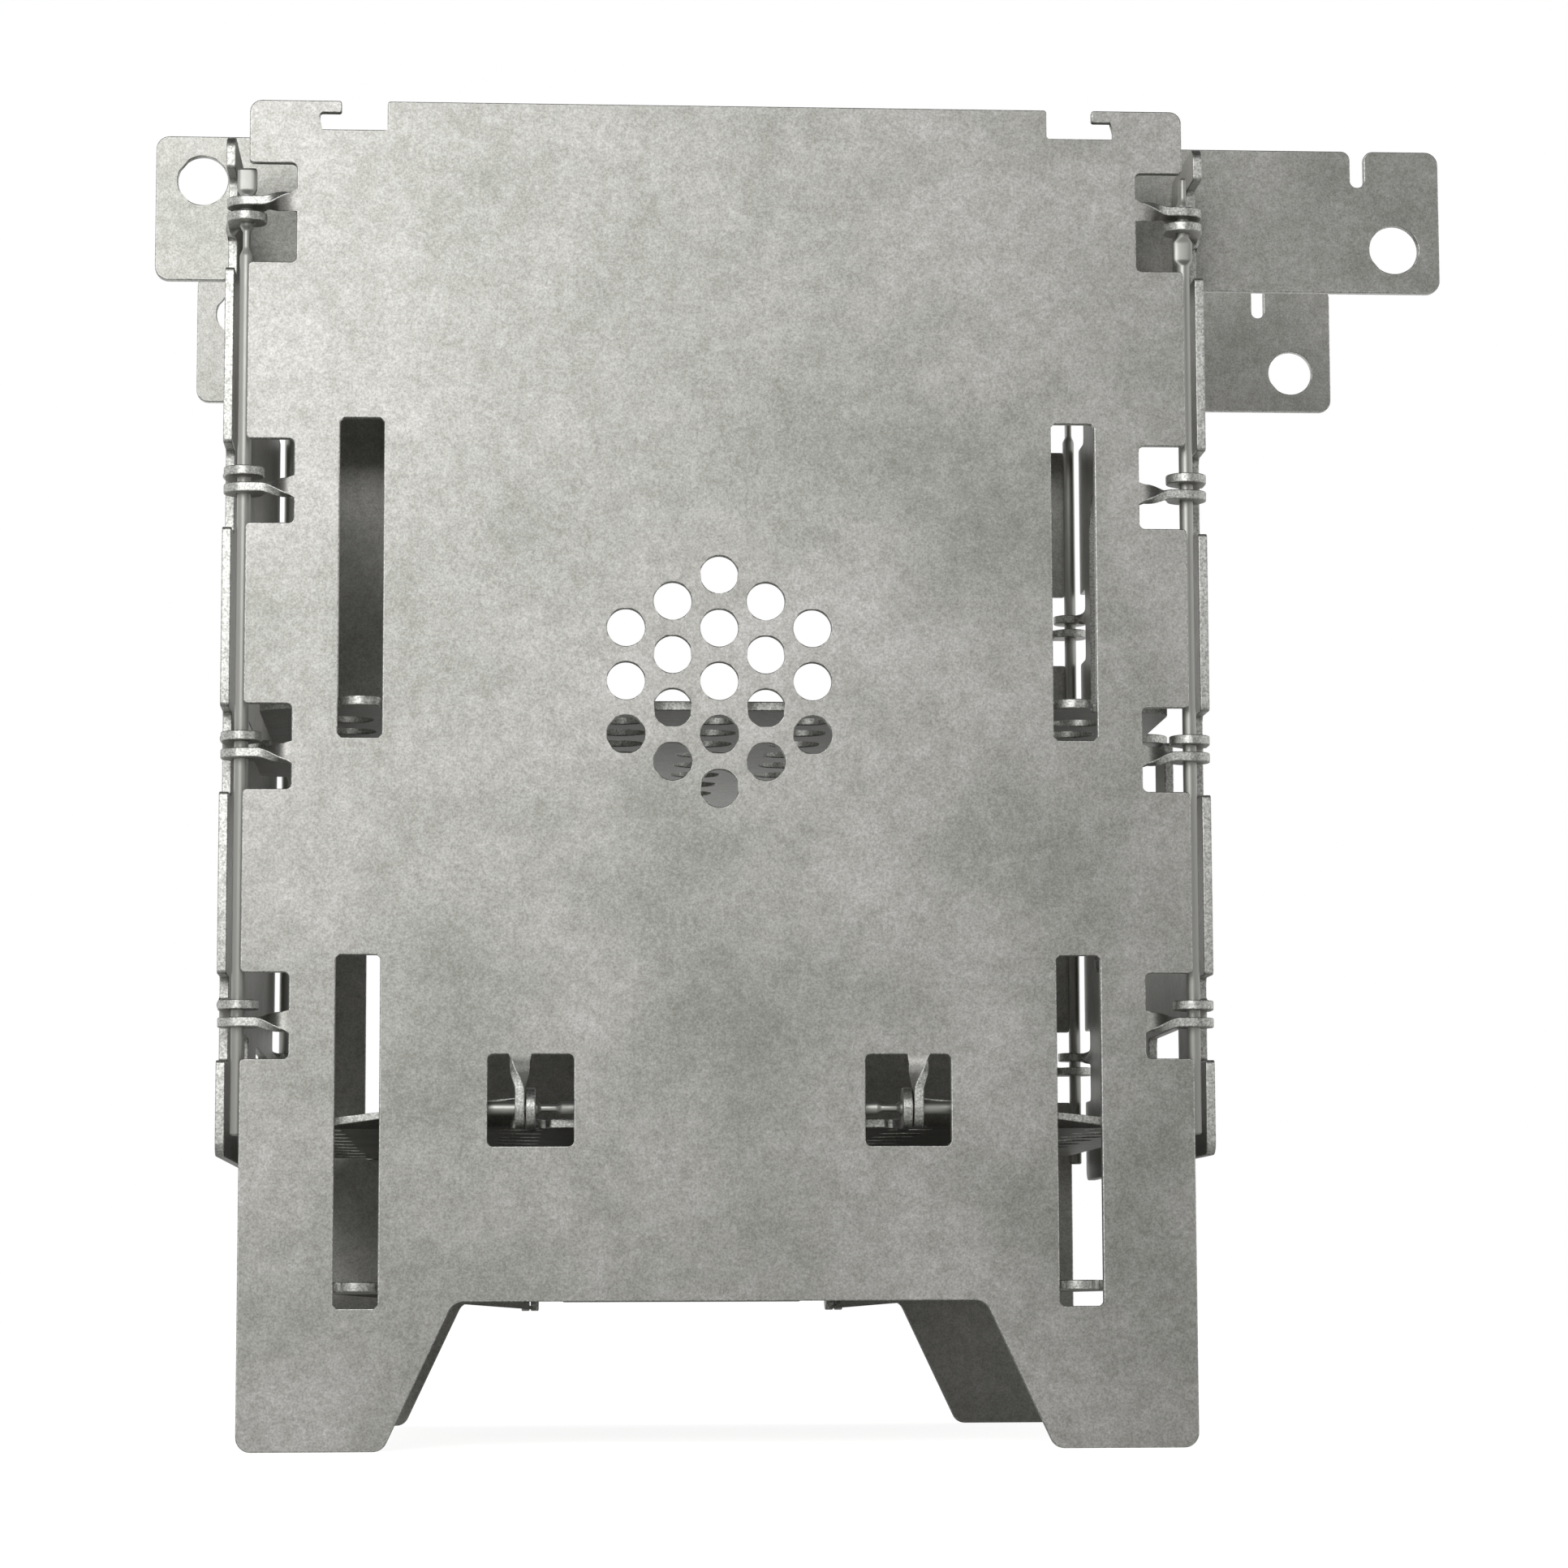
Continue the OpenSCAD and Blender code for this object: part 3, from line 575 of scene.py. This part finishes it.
ROUND = (ROD_R, ROD_R, 2.0)
ACROSS = (PINCH_W, PINCH_T, 3.2)
DEEP = (PINCH_T, PINCH_W, 3.2)
END = (ROD_R * 0.8, ROD_R * 0.8, 2.0)
corner_keys = [(35.5, *END), (35.7, *ROUND), (137.2, *ROUND), (138.2, *DEEP), (140.0, *DEEP), (140.9, *ROUND)]
corner_keys += [(144.3, *ROUND), (145.3, *ACROSS), (147.45, *ACROSS), (147.7, PINCH_W * 0.9, PINCH_T * 0.7, 3.2)]
for side_name, sx in (("left", -1), ("right", 1)):
    for end_name, sy in (("front", -1), ("back", 1)):
        node = end_name + "_" + side_name + "_rod"
        origin = (BODY_X + sx * ROD_AT, sy * ROD_AT, 0)
        turned = node == "front_right_rod"
        first, second = ((0, 1, 0), (-1, 0, 0)) if turned else ((1, 0, 0), (0, 1, 0))
        rod(node + "_wire", node, corner_keys, (origin, (0, 0, 1), first, second))


def cross_keys(pinch):
    """A cross rod's keys from end to end, pinched over the 2.9 mm inside of pinch on both sides of its middle."""
    half = [(pinch - 2.9, *ROUND), (pinch - 2.1, *DEEP), (pinch - 0.6, *DEEP), (pinch, *ROUND)]
    half += [(29.8, *ROUND), (30.0, *END)]
    return [(-k[0], *k[1:]) for k in reversed(half)] + half


GRATE_RING_X, ASH_RING_X = 21.5, 20.25
for node, y, z, x in (
    ("grate_rod", -ROD_AT, GRATE_ROD_Z, GRATE_RING_X),
    ("ash_plate_rod", ROD_AT, ASH_ROD_Z, ASH_RING_X),
):
    keys = cross_keys(x - SHEET / 2 - 0.15)
    rod(node + "_wire", node, keys, ((BODY_X, y, z), (1, 0, 0), (0, 0, 1), (0, 1, 0)))


# Grate. A perforated plate that hangs on the front wall by two strips of its own; its rear tabs rest in the back
# wall's slots.
PLATE_HALF = 53.0
TAB_W, TAB_END = 4.6, 56.95


def tab(y_edge, sign):
    """A slot tab on the right-hand half of a plate's edge at y_edge, walked so that the metal stays on the left;
    sign is -1 at the front edge and 1 at the back edge."""
    x0, x1, r = SLOT_X - TAB_W / 2, SLOT_X + TAB_W / 2, TAB_W / 2 - 0.05
    corners = [(x0, y_edge, 0.4), (x0, sign * TAB_END, r), (x1, sign * TAB_END, r), (x1, y_edge, 0.4)]
    return corners if sign < 0 else corners[::-1]


def flat_piece(name, right_half, left_half, holes, strips, top_z):
    """A horizontal plate whose upper face is at top_z, from its two half outlines."""
    strips = strips + [mirrored_strip(s) for s in strips]
    loops = [filleted(right_half + mirrored(left_half))] + [ring_hole(s) for s in strips] + holes
    sheet_piece(name + "_sheet", name, loops, strips, ((BODY_X, 0, top_z), (1, 0, 0), (0, 1, 0), (0, 0, -1)))


def hole_field(n, pitch, r):
    """A square field of n by n round holes."""
    at = (np.arange(n) - (n - 1) / 2) * pitch
    return [arc(x, y, r, 360, 15, 15.0) for x in at for y in at]


front, root = -52.3, -50.2
grate_drop = GRATE_ROD_Z - GRATE_Z - SHEET / 2
grate_strip = strip((GRATE_RING_X, root), (0, -1), (1, 0), ROD_AT + root, inward=-1, drop=grate_drop)
half = [(19.5, front, 0.5), (19.5, root, 0.35)] + strip_outline(grate_strip)[::-1]
half += [(23.8, root, 0.35), (23.8, front, 0.5), (46.3, front, 1.0), (PLATE_HALF, -46.0, 1.0)]
half += [(PLATE_HALF, 46.0, 1.0), (46.3, 52.3, 1.0)] + tab(52.3, 1)
flat_piece("grate", half, half, hole_field(9, 11.4, 2.7), [grate_strip], GRATE_Z + SHEET)


# Ash plate. A plain plate on the back wall's lowest rod, its two front tabs in the front wall's low slots.
ASH_Z = 17.85
back, root = 52.6, 50.2
ash_strip = strip((ASH_RING_X, root), (0, 1), (1, 0), ROD_AT - root, drop=SHEET / 2 + ASH_Z - ASH_ROD_Z)
half = tab(-53.0, -1) + [(47.8, -53.0, 1.0), (52.8, -48.0, 1.0), (52.8, 47.6, 1.0), (47.8, back, 1.0)]
half += [(23.15, back, 0.5), (23.15, root, 0.35)] + strip_outline(ash_strip) + [(18.55, root, 0.35), (18.55, back, 0.5)]
flat_piece("ash_plate", half, half, [], [ash_strip], ASH_Z + SHEET)


# Upper plate. A loose perforated plate on the right wall's posts and in the left wall's slot, its two front tabs
# in the front wall's upper slots.
def upper_half(ear):
    """Half of the upper plate's outline with an ear of the given half length, from front to back."""
    edge, out = PLATE_HALF, PLATE_HALF + 4
    corners = tab(-edge, -1) + [(edge, -edge, 4.0), (edge, -ear, 0.4), (out, -ear, 3.4)]
    return corners + [(out, ear, 3.4), (edge, ear, 0.4), (edge, edge, 4.0)]


right_ear, left_ear = 25.0, 15.0
upper_holes = hole_field(9, 10.8, 3.2)
flat_piece("upper_plate", upper_half(right_ear), upper_half(left_ear), upper_holes, [], UPPER_Z + SHEET)


# Pot bars. Two equal strips of sheet on edge in the side walls' slots. Each has a hole at both ends and a notch
# that grips the wall; turned half round in its own plane it is the same again.
BAR_L = 155.7
BAR_HOLE_X, BAR_HOLE_UP, BAR_HOLE_R = BAR_L / 2 - 5.6, 3.4, 3.0
NOTCH_X = BAR_L / 2 - 10.0
l, h, w = BAR_L / 2, BAR_H / 2, NOTCH_W / 2
half_turn = [(-l, -h, 1.6), (-NOTCH_X - w, -h, 1.1), (-NOTCH_X - w, -h + NOTCH_DEPTH, 0.8)]
half_turn += [(-NOTCH_X + w, -h + NOTCH_DEPTH, 0.8), (-NOTCH_X + w, -h, 1.1), (l, -h, 1.6)]
bar_outline = filleted(half_turn + [(-x, -y, r) for x, y, r in half_turn])
for node, y in (("front_bar", -BAR_Y), ("back_bar", BAR_Y)):
    holes = [arc(s * -BAR_HOLE_X, s * BAR_HOLE_UP, BAR_HOLE_R, 360, 8, 8.0) for s in (1, -1)]
    place = ((0, y - BAR_T / 2, BAR_Z + h), (1, 0, 0), (0, 0, 1), (0, 1, 0))
    sheet_piece(node + "_sheet", node, [bar_outline] + holes, [], place, thick=BAR_T)


# Floor and light. A pale floor that keeps the stove's shadow, a white backdrop, and one large soft lamp in front
# of the stove, a little to its left and above it. The room in front of the stove and overhead is dim.
def combined(tree, operation, first, second):
    """One value from two, each as (node, output name): their sum, product or maximum."""
    node = add(tree, "ShaderNodeMath", {"operation": operation})
    tree.links.new(first[0].outputs[first[1]], node.inputs[0])
    tree.links.new(second[0].outputs[second[1]], node.inputs[1])
    return node


def eased_step(tree, source, start, stop, low, high):
    """A value that eases from low to high while source = (node, output name) goes from start to stop."""
    settings = {"From Min": start, "From Max": stop, "To Min": low, "To Max": high}
    return add(tree, "ShaderNodeMapRange", {"interpolation_type": "SMOOTHSTEP", **settings}, Value=source)


FLOOR_SIZE = 8.0
floor_mesh = bpy.data.meshes.new("floor")
f = FLOOR_SIZE / 2
floor_mesh.from_pydata([(-f, -f, 0), (f, -f, 0), (f, f, 0), (-f, f, 0)], [], [(0, 1, 2, 3)])
floor = bpy.data.objects.new("floor", floor_mesh)
bpy.context.scene.collection.objects.link(floor)

# Pale paper: matt and nearly white. It glows for the rays that go straight to the camera; in the metal it is pale
# behind the stove and dim in front of it.
PAPER = bpy.data.materials.new("pale_paper_floor")
PAPER.use_nodes = True
tree = PAPER.node_tree
tree.nodes.clear()
seen = add(tree, "ShaderNodeLightPath")
matt = add(tree, "ShaderNodeBsdfDiffuse", {"Color": linear("#f4f4f2")})
seen_straight = combined(tree, "MAXIMUM", (seen, "Is Camera Ray"), (seen, "Is Transmission Ray"))
straight_glow = add(tree, "ShaderNodeMapRange", {"To Max": 0.87}, Value=(seen_straight, "Value"))
spot = add(tree, "ShaderNodeSeparateXYZ", Vector=(add(tree, "ShaderNodeTexCoord"), "Object"))
far_glow = eased_step(tree, (spot, "Y"), 0.06, 0.5, 0.05, 0.75)
metal_glow = combined(tree, "MULTIPLY", (far_glow, "Result"), (seen, "Is Glossy Ray"))
glow_level = combined(tree, "ADD", (straight_glow, "Result"), (metal_glow, "Value"))
glow = add(tree, "ShaderNodeEmission", {"Color": (1, 1, 1, 1)}, Strength=(glow_level, "Value"))
both = add(tree, "ShaderNodeAddShader")
tree.links.new(matt.outputs[0], both.inputs[0])
tree.links.new(glow.outputs[0], both.inputs[1])
add(tree, "ShaderNodeOutputMaterial", Surface=(both, "Shader"))
floor_mesh.materials.append(PAPER)

world = bpy.data.worlds.new("studio")
bpy.context.scene.world = world
world.use_nodes = True
tree = world.node_tree
tree.nodes.clear()
seen = add(tree, "ShaderNodeLightPath")
# In the metal the backdrop is pale behind the stove and white on both sides, and the room is dim in front of it
# and overhead.
towards = add(tree, "ShaderNodeSeparateXYZ", Vector=(add(tree, "ShaderNodeTexCoord"), "Generated"))
behind = eased_step(tree, (towards, "Y"), 0.1, 0.75, 0.32, 0.8)
overhead = eased_step(tree, (towards, "Z"), 0.15, 0.75, 1.0, 0.16)
sideways = add(tree, "ShaderNodeMath", {"operation": "ABSOLUTE"})
tree.links.new(towards.outputs["X"], sideways.inputs[0])
beside = eased_step(tree, (sideways, "Value"), 0.4, 0.85, 0.0, 1.0)
around = combined(tree, "MAXIMUM", (behind, "Result"), (beside, "Result"))
room = combined(tree, "MULTIPLY", (around, "Value"), (overhead, "Result"))
in_metal = combined(tree, "MULTIPLY", (room, "Value"), (seen, "Is Glossy Ray"))
straight = combined(tree, "MAXIMUM", (seen, "Is Camera Ray"), (seen, "Is Transmission Ray"))
level = combined(tree, "MAXIMUM", (in_metal, "Value"), (straight, "Value"))
plain = add(tree, "ShaderNodeMapRange", {"To Min": 0.22, "To Max": 0.0}, Value=(seen, "Is Glossy Ray"))
strength = combined(tree, "MAXIMUM", (level, "Value"), (plain, "Result"))
white = add(tree, "ShaderNodeBackground", {"Color": (1, 1, 1, 1)}, Strength=(strength, "Value"))
add(tree, "ShaderNodeOutputWorld", Surface=(white, "Background"))

key = bpy.data.lights.new("key_softbox", "AREA")
key.shape = "SQUARE"
key.size = 0.42
key.energy = 2.7
softbox = bpy.data.objects.new("key_softbox", key)
bpy.context.scene.collection.objects.link(softbox)
stand, aim = Vector((-0.215, -0.82, 0.365)), Vector((-0.03, -0.057, 0.09))
softbox.matrix_world = Matrix.Translation(stand) @ (aim - stand).to_track_quat("-Z", "Y").to_matrix().to_4x4()

bpy.context.scene.view_settings.view_transform = "Standard"
